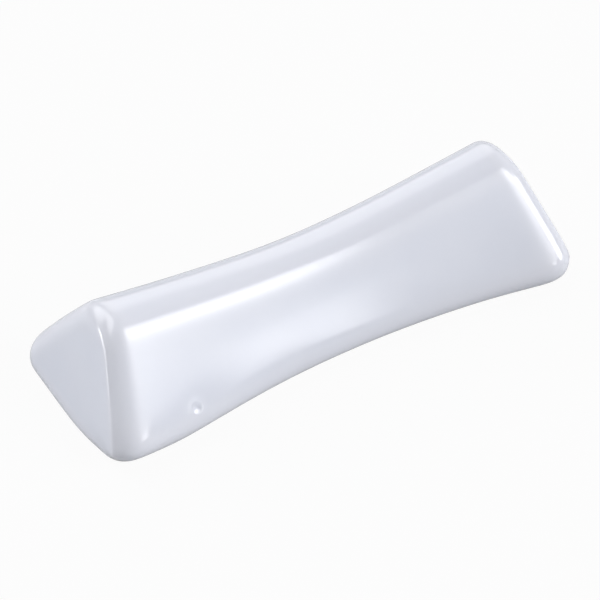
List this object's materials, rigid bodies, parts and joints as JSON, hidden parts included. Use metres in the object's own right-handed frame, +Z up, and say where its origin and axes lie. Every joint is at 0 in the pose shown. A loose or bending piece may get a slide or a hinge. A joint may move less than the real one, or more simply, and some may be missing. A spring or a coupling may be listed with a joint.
{
  "type": "chopstick rest",
  "caption": "Small waisted bar of triangular section with a dipped, rounded ridge that holds the tips of chopsticks off the table.",
  "frame": {"origin": "middle of the flat foot, on the table", "axes": "+X along the bar, +Y across it towards the back flank, +Z up through the ridge"},
  "size_m": [0.06, 0.0217, 0.0144],
  "materials": {
    "bare_porcelain": "matte",
    "white_glaze": "gloss"
  },
  "bodies": {
    "root": {"porcelain_body": "bare_porcelain", "glaze_coat": "white_glaze"}
  },
  "joints": []
}
